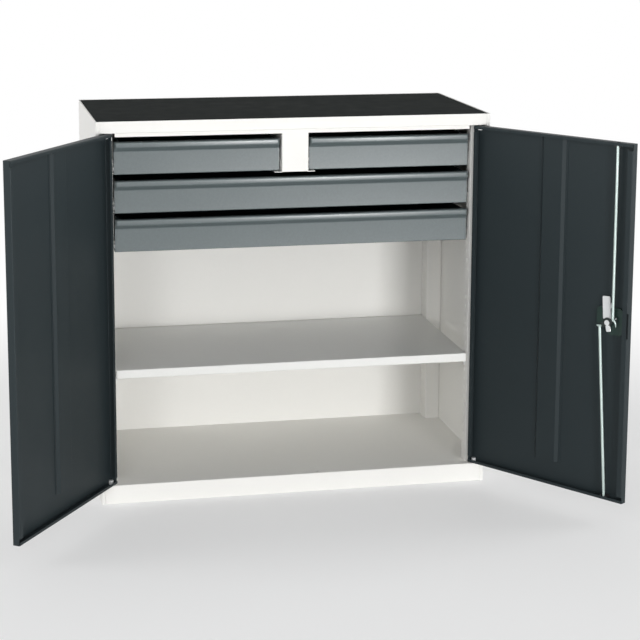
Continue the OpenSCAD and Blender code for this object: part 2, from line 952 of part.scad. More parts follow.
// Forked guide behind an end of the door, open for a rod that plays from xa to xb
module guide(xa, xb, z0, z1) {
    slot_r = rod_r + rod_gap;
    wall = 3.6;
    difference() {
        block([xa - slot_r - wall, door_sheet, z0], [xb + slot_r + wall, door_t - door_sheet, z1]);
        block([xa - slot_r, rod_front_y - 0.3, z0 - 1], [xb + slot_r, door_t, z1 + 1]);
    }
}

module rod_guides() {
    h = 10;
    color(handle_black)
        swing_right() {
            guide(upper_guide.x - rod_sway, upper_guide.x, upper_guide.y - h, upper_guide.y);
            guide(lower_guide.x, lower_guide.x + rod_sway, lower_guide.y, lower_guide.y + h);
        }
}

module handle_plate() {
    color(handle_black)
        swing_right()
            difference() {
                along_y(-plate_t, 0)
                    translate([lock_x, lock_z + cylinder_up / 2])
                        rounded_rect(plate_w, plate_h, 14);
                disc_y(lock_x, lock_z, 9 + fit, -plate_t - 1, 1);
                disc_y(lock_x, cylinder_z, cylinder_r + fit, -plate_t - 1, 1);
            }
}

module puck(r, h, soft) {
    cylinder(r1 = r - soft, r2 = r, h = soft, $fn = 32);
    translate([0, 0, h - soft])
        cylinder(r1 = r, r2 = r - soft, h = soft, $fn = 32);
}

// Lever that points to the hinge side while the door is unlocked
module door_handle() {
    neck_y = -plate_t - 0.3;
    bar_y = neck_y - 10;
    color(handle_black)
        swing_right()
            difference() {
                union() {
                    disc_y(lock_x, lock_z, 9, neck_y - 1, -0.3);
                    disc_y(lock_x, lock_z, 13, bar_y - 1, neck_y);
                    translate([lock_x, bar_y, lock_z])
                        rotate([90, 0, 0])
                            hull() {
                                puck(13, 14, 3);
                                translate([grip_l, 0, 2])
                                    puck(8, 11, 3);
                            }
                }
                translate([lock_x, 0, lock_z])
                    rotate([0, ear_rise, 0])
                        block([-shaft_w / 2, -plate_t - 12, -shaft_w / 2],
                              [shaft_w / 2, 1, shaft_w / 2]);
            }
}

module key_cylinder() {
    color(zinc)
        swing_right()
            difference() {
                union() {
                    disc_y(lock_x, cylinder_z, cylinder_r, -plate_t, case_y - 0.3);
                    disc_y(lock_x, cylinder_z, cylinder_r - 1, -plate_t - 2, -plate_t + 1);
                }
                block([lock_x - 4.5, -plate_t - 3, cylinder_z - 1],
                      [lock_x + 4.5, -plate_t + 3, cylinder_z + 1]);
            }
}

// ---------------------------------------------------------------- nodes

side_panel();  // side_panel_left
mirror([1, 0, 0]) side_panel();  // side_panel_right
rear_upright();  // rear_upright_left
mirror([1, 0, 0]) rear_upright();  // rear_upright_right
back_panel();
top_panel();
top_mat();
front_rail();
plinth();
floor_panel();
centre_partition();
shelf();
shelf_clips();
hinge_bushes();
cabinet_runners(0);  // upper_left_cabinet_runners
cabinet_runners(1);  // upper_right_cabinet_runners
cabinet_runners(2);  // middle_cabinet_runners
cabinet_runners(3);  // lower_cabinet_runners
front_rollers(0);  // upper_left_front_rollers
front_rollers(1);  // upper_right_front_rollers
front_rollers(2);  // middle_front_rollers
front_rollers(3);  // lower_front_rollers
drawer_front(0);  // upper_left_drawer_front
drawer_front(1);  // upper_right_drawer_front
drawer_front(2);  // middle_drawer_front
drawer_front(3);  // lower_drawer_front
drawer_box(0);  // upper_left_drawer_box
drawer_box(1);  // upper_right_drawer_box
drawer_box(2);  // middle_drawer_box
drawer_box(3);  // lower_drawer_box
drawer_slides(0);  // upper_left_drawer_slides
drawer_slides(1);  // upper_right_drawer_slides
drawer_slides(2);  // middle_drawer_slides
drawer_slides(3);  // lower_drawer_slides
rear_rollers(0);  // upper_left_rear_rollers
rear_rollers(1);  // upper_right_rear_rollers
rear_rollers(2);  // middle_rear_rollers
rear_rollers(3);  // lower_rear_rollers
left_door_leaf();
swing_left() stiffener();  // left_door_stiffener
swing_left() hinge_pins();  // left_hinge_pins
right_door_leaf();
swing_right() stiffener();  // right_door_stiffener
swing_right() hinge_pins();  // right_hinge_pins
lock_case();
lock_bracket();
rod_guides();
lock_cam();
lock_shaft();
shaft_nut();
upper_lock_rod();
lower_lock_rod();
handle_plate();
door_handle();
key_cylinder();
lock_screw();
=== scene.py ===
"""Dresses the steel tool cabinet for its picture.

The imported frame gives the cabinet's solids. This script paints each of them with a procedural
finish, puts finer pieces in place of the drawer fronts, lock rods, lever, rollers and mat, and
sets up a pale studio with the camera at the photograph's angle. Lengths are in metres.
"""

from __future__ import annotations

import json
import logging
import math
from dataclasses import dataclass, field
from enum import Enum
from typing import Any

import bpy
import numpy as np
from mathutils import Matrix, Vector

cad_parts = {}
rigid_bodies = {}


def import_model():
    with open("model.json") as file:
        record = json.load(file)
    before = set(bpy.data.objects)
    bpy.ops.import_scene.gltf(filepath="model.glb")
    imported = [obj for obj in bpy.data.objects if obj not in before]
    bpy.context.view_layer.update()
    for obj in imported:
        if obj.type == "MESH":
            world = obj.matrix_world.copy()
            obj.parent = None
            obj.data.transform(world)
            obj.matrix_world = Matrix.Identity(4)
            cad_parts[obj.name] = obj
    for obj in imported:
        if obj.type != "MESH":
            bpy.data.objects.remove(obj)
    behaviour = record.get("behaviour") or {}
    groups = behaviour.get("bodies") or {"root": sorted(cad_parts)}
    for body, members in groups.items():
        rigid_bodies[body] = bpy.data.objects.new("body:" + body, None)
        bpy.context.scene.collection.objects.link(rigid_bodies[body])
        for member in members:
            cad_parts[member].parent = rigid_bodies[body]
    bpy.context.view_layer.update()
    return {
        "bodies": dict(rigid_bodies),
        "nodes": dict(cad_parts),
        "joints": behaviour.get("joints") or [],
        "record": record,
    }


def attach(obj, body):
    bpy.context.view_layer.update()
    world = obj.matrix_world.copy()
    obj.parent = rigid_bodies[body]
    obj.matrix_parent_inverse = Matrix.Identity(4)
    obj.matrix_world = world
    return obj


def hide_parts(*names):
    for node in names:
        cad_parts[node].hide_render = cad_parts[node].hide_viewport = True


log = logging.getLogger("tool_cabinet")
Array = np.ndarray
Pair = tuple[float, float]
Triple = tuple[float, float, float]
Colour = Triple
Shell = tuple[np.ndarray, list[list[int]]]
Socket = bpy.types.NodeSocket
Piece = bpy.types.Object
MM = 0.001
QUARTER = np.pi / 2
LOCK_X = 67.5 * MM
LOCK_Z = 510 * MM
EAR_RISE = 28.0  # degrees from level to the cam's upper ear
NOISE_LOW, NOISE_HIGH = 0.3, 0.7  # most of a noise value lies between these
SQUARE = ((-1, -1), (1, -1), (1, 1), (-1, 1))
SEAM_SIDE = (0.31, 0.87, 0.39)  # a direction that no tube runs along


# ------------------------------------------------------------------ shader building


class Graph:
    """Builds one material's node tree around a Principled shader."""

    def __init__(self, name: str) -> None:
        """Makes an empty node material.

        Args:
            name: The material's name.
        """
        self.material = bpy.data.materials.new(name)
        self.material.use_nodes = True
        self.tree = self.material.node_tree
        self.shader = self.tree.nodes["Principled BSDF"]
        self.place = self.node("ShaderNodeTexCoord").outputs["Object"]

    def node(self, kind: str, **settings: Any) -> bpy.types.Node:
        """Adds a node.

        Args:
            kind: The node's type name.
            settings: Properties of the node, by name.

        Returns:
            The new node.
        """
        made = self.tree.nodes.new(kind)
        for name, value in settings.items():
            setattr(made, name, value)
        return made

    def link(self, source: Socket, target: Socket) -> None:
        """Joins an output to an input."""
        self.tree.links.new(source, target)

    def stretched(self, scale: Triple) -> Socket:
        """Object coordinates, scaled on each axis.

        Args:
            scale: Factor on X, Y and Z.

        Returns:
            The scaled coordinates.
        """
        mapping = self.node("ShaderNodeMapping")
        mapping.inputs["Scale"].default_value = scale
        self.link(self.place, mapping.inputs["Vector"])
        return mapping.outputs["Vector"]

    def noise(
        self,
        scale: float,
        detail: float = 2.0,
        rough: float = 0.5,
        at: Socket | None = None,
    ) -> Socket:
        """A fractal noise value.

        Args:
            scale: Spots per metre.
            detail: Number of finer layers.
            rough: Weight of the finer layers.
            at: Coordinates, or None for the plain object coordinates.

        Returns:
            The noise value's socket.
        """
        made = self.node("ShaderNodeTexNoise")
        made.inputs["Scale"].default_value = scale
        made.inputs["Detail"].default_value = detail
        made.inputs["Roughness"].default_value = rough
        self.link(at or self.place, made.inputs["Vector"])
        return made.outputs["Fac"]

    def ranged(self, value: Socket, low: float, high: float) -> Socket:
        """Maps the middle of a noise value to a range.

        Args:
            value: The noise value.
            low: Result at NOISE_LOW.
            high: Result at NOISE_HIGH.

        Returns:
            The mapped value's socket.
        """
        made = self.node("ShaderNodeMapRange")
        made.inputs["From Min"].default_value = NOISE_LOW
        made.inputs["From Max"].default_value = NOISE_HIGH
        made.inputs["To Min"].default_value = low
        made.inputs["To Max"].default_value = high
        self.link(value, made.inputs["Value"])
        return made.outputs["Result"]

    def blended(
        self,
        factor: Socket,
        first: Colour | Socket,
        second: Colour,
    ) -> Socket:
        """Mixes two colours.

        Args:
            factor: Share of the second colour.
            first: A colour, or the socket of one.
            second: The other colour.

        Returns:
            The mixed colour's socket.
        """
        made = self.node("ShaderNodeMix", data_type="RGBA")
        colours = [s for s in made.inputs if s.type == "RGBA"]
        if isinstance(first, tuple):
            colours[0].default_value = (*first, 1.0)
        else:
            self.link(first, colours[0])
        colours[1].default_value = (*second, 1.0)
        self.link(factor, made.inputs[0])
        return next(s for s in made.outputs if s.type == "RGBA")

    def raised(
        self,
        height: Socket,
        depth: float,
        strength: float,
        under: Socket | None = None,
    ) -> Socket:
        """A bump from a height value.

        Args:
            height: The height's socket.
            depth: Height of the relief in metres.
            strength: Share of the relief that is used.
            under: The normal of a coarser bump below it.

        Returns:
            The bumped normal's socket.
        """
        made = self.node("ShaderNodeBump")
        made.inputs["Distance"].default_value = depth
        made.inputs["Strength"].default_value = strength
        self.link(height, made.inputs["Height"])
        if under is not None:
            self.link(under, made.inputs["Normal"])
        return made.outputs["Normal"]

    def constants(self, **values: float) -> None:
        """Sets the shader's own sockets; an underscore in a name stands for a space."""
        for name, value in values.items():
            self.shader.inputs[name.replace("_", " ")].default_value = value

    def feed(self, **sources: Socket) -> None:
        """Links sockets to the shader's inputs; an underscore in a name stands for a space."""
        for name, source in sources.items():
            self.link(source, self.shader.inputs[name.replace("_", " ")])


def shade(colour: Colour, factor: float) -> Colour:
    """A colour made lighter or darker, kept below 1."""
    return tuple(min(1.0, c * factor) for c in colour)


# ------------------------------------------------------------------ finishes


@dataclass(frozen=True)
class PowderCoat:
    """Baked powder coat on sheet steel: a fine orange peel under an even colour."""

    name: str
    colour: Colour
    roughness: float = 0.4
    peel: float = 520.0
    relief: float = 0.10
    spread: float = 0.03
    gloss: float = 0.5
    fleck: float = 0.06
    wave: float = 0.08
    cloud_scale: float = 2.3
    fleck_scale: float = 190.0
    wave_scale: float = 3.2
    sheen_scale: float = 7.0
    wave_depth: float = 1 * MM
    peel_depth: float = 0.4 * MM
    smoother: float = 0.012
    rougher: float = 0.018

    def build(self) -> bpy.types.Material:
        """Makes the material: cloudy colour, fine flecks, peel and slow waves in the sheet."""
        g = Graph(self.name)
        cloud = g.ranged(g.noise(self.cloud_scale, 3.0, 0.5), 0.0, 1.0)
        darker, lighter = (shade(self.colour, 1 + k * self.spread) for k in (-1, 1))
        flecks = g.ranged(g.noise(self.fleck_scale, 4.0, 0.7), 0.0, 1.0)
        base = g.blended(cloud, darker, lighter)
        base = g.blended(flecks, base, shade(self.colour, 1 + self.fleck))
        waves = g.raised(g.noise(self.wave_scale, 1.0, 0.3), self.wave_depth, self.wave)
        peel = g.raised(g.noise(self.peel, 2.0, 0.55), self.peel_depth, self.relief, waves)
        low, high = self.roughness - self.smoother, self.roughness + self.rougher
        sheen = g.ranged(g.noise(self.sheen_scale, 2.0, 0.5), low, high)
        g.constants(Specular_IOR_Level=self.gloss)
        g.feed(Base_Color=base, Roughness=sheen, Normal=peel)
        return g.material


@dataclass(frozen=True)
class ZincPlate:
    """Bright zinc plating with drawn streaks along one axis and a faint bluish cast."""

    name: str
    colour: Colour
    tarnish: Colour
    streak: Triple
    roughness: float = 0.3
    metal: float = 1.0
    cloud_scale: float = 38.0
    most_tarnish: float = 0.55
    streak_scale: float = 90.0
    streak_depth: float = 0.2 * MM
    relief: float = 0.12
    smoother: float = 0.08
    rougher: float = 0.12

    def build(self) -> bpy.types.Material:
        """Makes the material: streaked metal with cloudy tarnish."""
        g = Graph(self.name)
        cloud = g.ranged(g.noise(self.cloud_scale, 4.0, 0.65), 0.0, self.most_tarnish)
        base = g.blended(cloud, self.colour, self.tarnish)
        streaks = g.noise(self.streak_scale, 3.0, 0.6, g.stretched(self.streak))
        sheen = g.ranged(streaks, self.roughness - self.smoother, self.roughness + self.rougher)
        drawn = g.raised(streaks, self.streak_depth, self.relief)
        g.constants(Metallic=self.metal)
        g.feed(Base_Color=base, Roughness=sheen, Normal=drawn)
        return g.material


@dataclass(frozen=True)
class Moulded:
    """Moulded plastic or rubber with a fine spark-eroded grain and rubbed spots."""

    name: str
    colour: Colour
    worn: Colour
    roughness: float
    grain: float = 900.0
    relief: float = 0.25
    gloss: float = 0.5
    cloud: float = 9.0
    most_worn: float = 0.6
    sheen_scale: float = 24.0
    sheen_spread: float = 0.07
    grain_depth: float = 0.4 * MM

    def build(self) -> bpy.types.Material:
        """Makes the material: grained surface with paler rubbed clouds."""
        g = Graph(self.name)
        rubbed = g.ranged(g.noise(self.cloud, 6.0, 0.62), 0.0, self.most_worn)
        base = g.blended(rubbed, self.colour, self.worn)
        low, high = self.roughness - self.sheen_spread, self.roughness + self.sheen_spread
        sheen = g.ranged(g.noise(self.sheen_scale, 4.0, 0.6), low, high)
        grain = g.raised(g.noise(self.grain, 3.0, 0.6), self.grain_depth, self.relief)
        g.constants(Specular_IOR_Level=self.gloss)
        g.feed(Base_Color=base, Roughness=sheen, Normal=grain)
        return g.material


class Slot(Enum):
    """The record's material slots, each with its finish, and a darker, green-tinted copy of the
    zinc plate for the rods, which is painted shade.
    """

    body = PowderCoat(
        "white_powder_coat", (0.91, 0.9, 0.868),
        roughness=0.55, peel=480.0, relief=0.08, spread=0.01, gloss=0.1, fleck=0.015,
    )
    shelf = PowderCoat(
        "shelf_powder_coat", (0.8, 0.8, 0.775),
        roughness=0.3, peel=420.0, relief=0.03, spread=0.01, gloss=0.4, fleck=0.02, wave=0.0,
    )
    runner = PowderCoat(
        "runner_epoxy", (0.8, 0.8, 0.77),
        roughness=0.35, peel=700.0, relief=0.1, spread=0.02, gloss=0.5, fleck=0.03,
    )
    drawer_front = PowderCoat(
        "drawer_powder_coat", (0.094, 0.118, 0.122),
        roughness=0.31, peel=560.0, relief=0.12, spread=0.02, gloss=0.75, fleck=0.16,
    )
    door = PowderCoat(
        "door_powder_coat", (0.02, 0.028, 0.031),
        roughness=0.5, peel=560.0, relief=0.1, spread=0.02, gloss=0.2, fleck=0.08,
    )
    zinc = ZincPlate(
        "pale_zinc", (0.86, 0.87, 0.875), (0.76, 0.775, 0.78),
        streak=(1.0, 1.0, 0.05), roughness=0.36, metal=0.35,
    )
    # Painted shade: the rods' zinc plate, made darker and greener than pale_zinc to stand in for
    # their shading.
    shaded_rod_zinc = ZincPlate(
        "shaded_rod_zinc", (0.56, 0.66, 0.63), (0.47, 0.57, 0.54),
        streak=(1.0, 1.0, 0.05), roughness=0.42, metal=0.35,
    )
    mat = Moulded(
        "mat_rubber", (0.018, 0.021, 0.02), (0.024, 0.027, 0.026),
        roughness=0.85, grain=1300.0, relief=0.4, gloss=0.03, cloud=5.0,
    )
    black_plastic = Moulded(
        "black_plastic", (0.014, 0.014, 0.015), (0.03, 0.03, 0.031), roughness=0.42,
    )
    roller = ZincPlate(
        "bearing_steel", (0.66, 0.67, 0.68), (0.5, 0.51, 0.53),
        streak=(0.05, 1.0, 1.0), roughness=0.22,
    )
    dark_zinc = ZincPlate(
        "black_zinc", (0.022, 0.03, 0.028), (0.04, 0.048, 0.045),
        streak=(1.0, 1.0, 0.1), roughness=0.4, metal=0.4,
    )
    lock_case = Moulded(
        "lock_case_plastic", (0.003, 0.018, 0.013), (0.006, 0.026, 0.02),
        roughness=0.42, grain=700.0, relief=0.18,
    )


class Wardrobe:
    """Holds the built materials and dresses pieces and solids with them."""

    def __init__(self) -> None:
        """Builds every finish once."""
        self.materials = {slot.name: slot.value.build() for slot in Slot}

    def dress(self, piece: Piece, slot: str) -> None:
        """Gives a piece or a solid the finish of a slot.

        Args:
            piece: The object to dress.
            slot: Name of the material slot.
        """
        piece.data.materials.clear()
        piece.data.materials.append(self.materials[slot])


# ------------------------------------------------------------------ surfaces


def grid_faces(rows: int, columns: int, closed: bool) -> Array:
    """Quads over a grid of points numbered row by row.

    Args:
        rows: Number of rows.
        columns: Number of points in a row.
        closed: True if each row joins its own start.

    Returns:
        Indices, four to a face.
    """
    last = columns if closed else columns - 1
    r, c = np.meshgrid(np.arange(rows - 1), np.arange(last), indexing="ij")
    n = (c + 1) % columns
    here, above = r * columns, (r + 1) * columns
    return np.stack([here + c, here + n, above + n, above + c], -1).reshape(-1, 4)


def tube_shell(points: Array) -> Shell:
    """A closed skin over rows of loops, with a flat cap on the first and the last row.

    Args:
        points: Array of rows, points in a row and three coordinates.

    Returns:
        The vertices and the faces.
    """
    rows, columns = points.shape[:2]
    faces = grid_faces(rows, columns, True).tolist()
    faces.append(list(range(columns))[::-1])
    faces.append([(rows - 1) * columns + k for k in range(columns)])
    return points.reshape(-1, 3), faces


def ring_shell(points: Array) -> Shell:
    """A skin over rows of loops where the last row joins the first, as on a wheel with a bore."""
    rows, columns = points.shape[:2]
    looped = grid_faces(rows + 1, columns, True) % (rows * columns)
    return points.reshape(-1, 3), looped.tolist()


def joined(shells: list[Shell]) -> Shell:
    """Several shells as one set of vertices and faces."""
    vertices, faces, start = [], [], 0
    for v, f in shells:
        vertices.append(v)
        faces.extend([[k + start for k in face] for face in f])
        start += len(v)
    return np.concatenate(vertices), faces


def block_shell(low: Triple, high: Triple) -> Shell:
    """A plain plate between two corners, as a skin of two loops."""
    (x0, y0, z0), (x1, y1, z1) = low, high
    loop = np.array([[y0, z0], [y1, z0], [y1, z1], [y0, z1]])
    rows = [np.column_stack([np.full(4, x), loop]) for x in (x0, x1)]
    return tube_shell(np.array(rows))


def solid(name: str, shell: Shell, smooth_angle: float = 35.0) -> Piece:
    """Puts a shell into a new object with outward faces.

    Args:
        name: The object's name.
        shell: Vertices and faces.
        smooth_angle: Edges flatter than this many degrees are shaded smooth.

    Returns:
        The new object, at the origin.
    """
    vertices, faces = shell
    mesh = bpy.data.meshes.new(name)
    mesh.from_pydata(vertices.tolist(), [], faces)
    mesh.update()
    piece = bpy.data.objects.new(name, mesh)
    bpy.context.scene.collection.objects.link(piece)
    if signed_volume(mesh) < 0:
        mesh.flip_normals()
    mesh.shade_smooth()
    mesh.set_sharp_from_angle(angle=math.radians(smooth_angle))
    return piece


def signed_volume(mesh: bpy.types.Mesh) -> float:
    """Volume inside a mesh, summed over its triangles: negative if it is inside out."""
    mesh.calc_loop_triangles()
    corners = np.empty(len(mesh.loop_triangles) * 3, np.int32)
    mesh.loop_triangles.foreach_get("vertices", corners)
    points = np.empty(len(mesh.vertices) * 3, np.float32)
    mesh.vertices.foreach_get("co", points)
    a, b, c = np.moveaxis(points.reshape(-1, 3)[corners.reshape(-1, 3)].astype(float), 1, 0)
    return float(np.einsum("ij,ij->i", a, np.cross(b, c)).sum() / 6)


def arc(centre: Pair, radius: float, start: float, end: float, steps: int) -> Array:
    """Points on a circle's arc, from a start angle to an end angle in degrees."""
    a = np.radians(np.linspace(start, end, steps))
    return np.column_stack([centre[0] + radius * np.cos(a), centre[1] + radius * np.sin(a)])


def between(ends: Pair, share: Array) -> Array:
    """A value that runs evenly from the first end, at 0, to the second, at 1."""
    return ends[0] + (ends[1] - ends[0]) * share


def thickened(path: Array, thickness: float) -> Array:
    """A sheet's closed outline from the line of its outer face.

    The inner face is the outer one moved along its normal, which is the path's direction turned
    a quarter to the right; at each point the direction is the mean of its two neighbours'.

    Args:
        path: Points of the outer face.
        thickness: Sheet thickness.

    Returns:
        The outer points followed by the inner ones in reverse.
    """
    ahead = np.gradient(path, axis=0)
    ahead /= np.linalg.norm(ahead, axis=1)[:, None]
    inner = path + thickness * np.column_stack([ahead[:, 1], -ahead[:, 0]])
    return np.concatenate([path, inner[::-1]])


def rounded_outline(half_width: float, half_height: float, power: float, count: int) -> Array:
    """A rounded rectangle about the origin: the curve |x/a|^n + |z/b|^n = 1, by even angles."""
    turn = np.linspace(0, 2 * np.pi, count, endpoint=False)
    c, s = np.cos(turn), np.sin(turn)
    reach = ((np.abs(c) / half_width) ** power + (np.abs(s) / half_height) ** power) ** (-1 / power)
    return reach[:, None] * np.column_stack([c, s])


def plate_shell(outline: Array, front: float, back: float, edge: float) -> Shell:
    """A plate standing in (x, z), with edges broken by a small chamfer.

    Args:
        outline: Points in (x, z), star-shaped about their mean.
        front: The plate's front in y.
        back: The plate's back in y.
        edge: Width of the chamfer.

    Returns:
        The vertices and the faces.
    """
    middle = outline.mean(axis=0)
    size = np.linalg.norm(outline - middle, axis=1).max()
    small = middle + (outline - middle) * (1 - edge / size)
    levels = [(small, front), (outline, front + edge), (outline, back - edge), (small, back)]
    loops = [np.column_stack([o[:, 0], np.full(len(o), y), o[:, 1]]) for o, y in levels]
    return tube_shell(np.array(loops))


def swept_tube(centres: Array, radii: Array, sides: int) -> Array:
    """Loops of a round tube along a line.

    Each loop is a circle about its centre, in the plane across the line's direction there. The
    circle's first axis is carried on from loop to loop, so that the tube doesn't twist.

    Args:
        centres: Points of the line.
        radii: The radius at each point.
        sides: Points in a loop.

    Returns:
        Array of loops.
    """
    ahead = np.gradient(centres, axis=0)
    ahead /= np.linalg.norm(ahead, axis=1)[:, None]
    axis = np.zeros_like(ahead)
    side = np.cross(ahead[0], SEAM_SIDE)
    for k, direction in enumerate(ahead):
        side = side - direction * (side @ direction)
        side /= np.linalg.norm(side)
        axis[k] = side
    across = np.cross(ahead, axis)
    turn = np.linspace(0, 2 * np.pi, sides, endpoint=False)
    c, s = np.cos(turn)[None, :, None], np.sin(turn)[None, :, None]
    return centres[:, None] + radii[:, None, None] * (c * axis[:, None] + s * across[:, None])


# ------------------------------------------------------------------ sub-assemblies


@dataclass(frozen=True)
class DoorSwing:
    """Where the right door stands: closed places turned about its pins."""

    pivot: Pair = (0.490, 0.007)
    degrees: float = 124.0

    def placed(self, points: Array) -> Array:
        """Turns points of the closed right door to its drawn place.

        Args:
            points: Array whose last axis is x, y and z.

        Returns:
            The turned points.
        """
        a = math.radians(self.degrees)
        x, y = points[..., 0] - self.pivot[0], points[..., 1] - self.pivot[1]
        turned = np.empty_like(points)
        turned[..., 0] = self.pivot[0] + x * math.cos(a) - y * math.sin(a)
        turned[..., 1] = self.pivot[1] + x * math.sin(a) + y * math.cos(a)
        turned[..., 2] = points[..., 2]
        return turned


@dataclass
class DrawerFront:
    """Front of one drawer: a folded sheet with a rolled grip along its top."""

    drawer: str
    left: float
    right: float
    bottom: float
    height: float = 85 * MM
    face: float = 40 * MM
    proud: float = 15 * MM
    band: float = 15 * MM
    slope: float = 12 * MM
    roll: float = 4.2 * MM
    back: float = 43 * MM
    hem: float = 9 * MM
    foot: float = 51 * MM
    sheet: float = 1 * MM
    end_round: float = 7 * MM
    fold: float = 2.1 * MM
    sweep: float = 1.25
    end_share: float = 0.25
    plate_gap: float = 0.05 * MM
    plate_behind: float = 1.2 * MM
    plate_foot: float = 2 * MM
    plate_drop: float = 2.6 * MM

    def profile(self) -> Array:
        """Line of the outer face in (y, z), from the foot's end over the grip to the hem's end.

        The face is upright. Above it, the line swings forward by the smooth step 3t^2 - 2t^3 of
        the height, runs up the band, turns over the top on a quarter circle, runs back and turns
        down into the hem.
        """
        top = self.bottom + self.height
        grip = self.face - self.proud
        r = self.fold
        foot = np.array([[self.foot, self.bottom]])
        fold = arc((self.face + r, self.bottom + r), r, 270, 180, 7)
        t = np.linspace(0, 1, 15)
        low = top - self.band - self.slope
        forward = self.proud * (3 * t**2 - 2 * t**3)
        swing = np.column_stack([self.face - forward, low + self.sweep * self.slope * t])
        over = arc((grip + self.roll, top - self.roll), self.roll, 180, 90, 9)
        hem_fold = arc((self.back - r, top - r), r, 90, 0, 6)
        hem = np.array([[self.back, top - self.hem]])
        return np.concatenate([foot, fold, swing, over, hem_fold, hem])

    def build(self) -> Piece:
        """Carries the profile from end to end.

        The outline's forward part shrinks towards the face at each end as a quarter circle of the
        distance to the end, so that the grip closes with a rounded corner.
        """
        outline = thickened(self.profile(), self.sheet)
        turn = np.radians(np.linspace(0, 90, 9))
        near = self.end_round * (1 - np.cos(turn))
        x = np.concatenate([self.left + near, (self.right - near)[::-1]])
        swell = np.concatenate([np.sin(turn), np.sin(turn)[::-1]])
        y = outline[None, :, 0]
        kept = self.end_share + (1 - self.end_share) * swell[:, None]
        y = np.where(y < self.face, self.face - (self.face - y) * kept, y)
        z = np.broadcast_to(outline[None, :, 1], y.shape)
        rows = np.stack([np.broadcast_to(x[:, None], y.shape), y, z], -1)
        front, low = self.face + self.plate_gap, self.bottom + self.plate_foot
        back, high = self.back - self.plate_behind, self.bottom + self.height - self.plate_drop
        plates = [
            block_shell((a, front, low), (a + self.sheet, back, high))
            for a in (self.left, self.right - self.sheet)
        ]
        return solid(f"{self.drawer}_front_sheet", joined([tube_shell(rows), *plates]))


@dataclass
class RollerPair:
    """The two bearing wheels of one drawer or cabinet member."""

    node: str
    y: float
    z: float
    middles: Pair
    width: float = 6 * MM
    radius: float = 10 * MM
    bore: float = 2.55 * MM
    edge: float = 0.9 * MM
    hub: float = 4.6 * MM
    groove: Triple = (5.2 * MM, 7.6 * MM, 8.2 * MM)
    dip: float = 0.9 * MM

    def wheel(self, middle: float) -> Shell:
        """One wheel: a closed half-section turned about the axle.

        The section runs from the bore out along a flat hub, dips into a shallow face groove and
        rounds over into the tread with a quarter circle at each shoulder.
        """
        h, r, e = self.width / 2, self.radius, self.edge
        low, high, lip = self.groove
        sunk = self.dip - h
        face = [[-h, self.bore], [-h, self.hub], [sunk, low], [sunk, high], [-h, lip]]
        half = np.concatenate([face, arc((e - h, r - e), e, 180, 90, 5)])
        section = np.concatenate([half, half[::-1] * [-1, 1]])
        turn = np.linspace(0, 2 * np.pi, 40, endpoint=False)
        x = middle + np.broadcast_to(section[:, 0, None], (len(section), len(turn)))
        y = self.y + section[:, 1, None] * np.cos(turn)
        z = self.z + section[:, 1, None] * np.sin(turn)
        return ring_shell(np.stack([x, y, z], -1))

    def build(self) -> Piece:
        """Both wheels as one piece."""
        return solid(f"{self.node}_wheels", joined([self.wheel(m) for m in self.middles]))


@dataclass
class TopMat:
    """Rubber mat in the tray of the top, with soft edges."""

    half_width: float = 511.5 * MM
    front: float = 3.5 * MM
    back: float = 495 * MM
    low: float = 996.5 * MM
    thickness: float = 3 * MM
    corner: float = 3 * MM
    least_corner: float = 0.4 * MM
    edge: float = 1.2 * MM
    border: float = 2 * MM

    def outline(self, inset: float, count: int = 8) -> Array:
        """The mat's outline in (x, y), moved inwards: four corner arcs joined by straight sides."""
        r = max(self.corner - inset, self.least_corner)
        x, y0, y1 = self.half_width - inset - r, self.front + inset + r, self.back - inset - r
        corners = [((x, y1), 0), ((-x, y1), 90), ((-x, y0), 180), ((x, y0), 270)]
        return np.concatenate([arc(c, r, a, a + 90, count) for c, a in corners])

    def build(self) -> Piece:
        """Stacks outlines: up the side, over a quarter circle of the edge radius, onto the top."""
        turn = np.radians(np.linspace(0, 90, 6))
        insets = np.concatenate([[0.0], self.edge * (1 - np.cos(turn)), [self.edge + self.border]])
        top = self.low + self.thickness
        heights = np.concatenate([[self.low], top - self.edge + self.edge * np.sin(turn), [top]])
        loops = [self.outline(inset) for inset in insets]
        rows = [np.column_stack([loop, np.full(len(loop), z)]) for loop, z in zip(loops, heights)]
        return solid("rubber_mat", tube_shell(np.array(rows)))


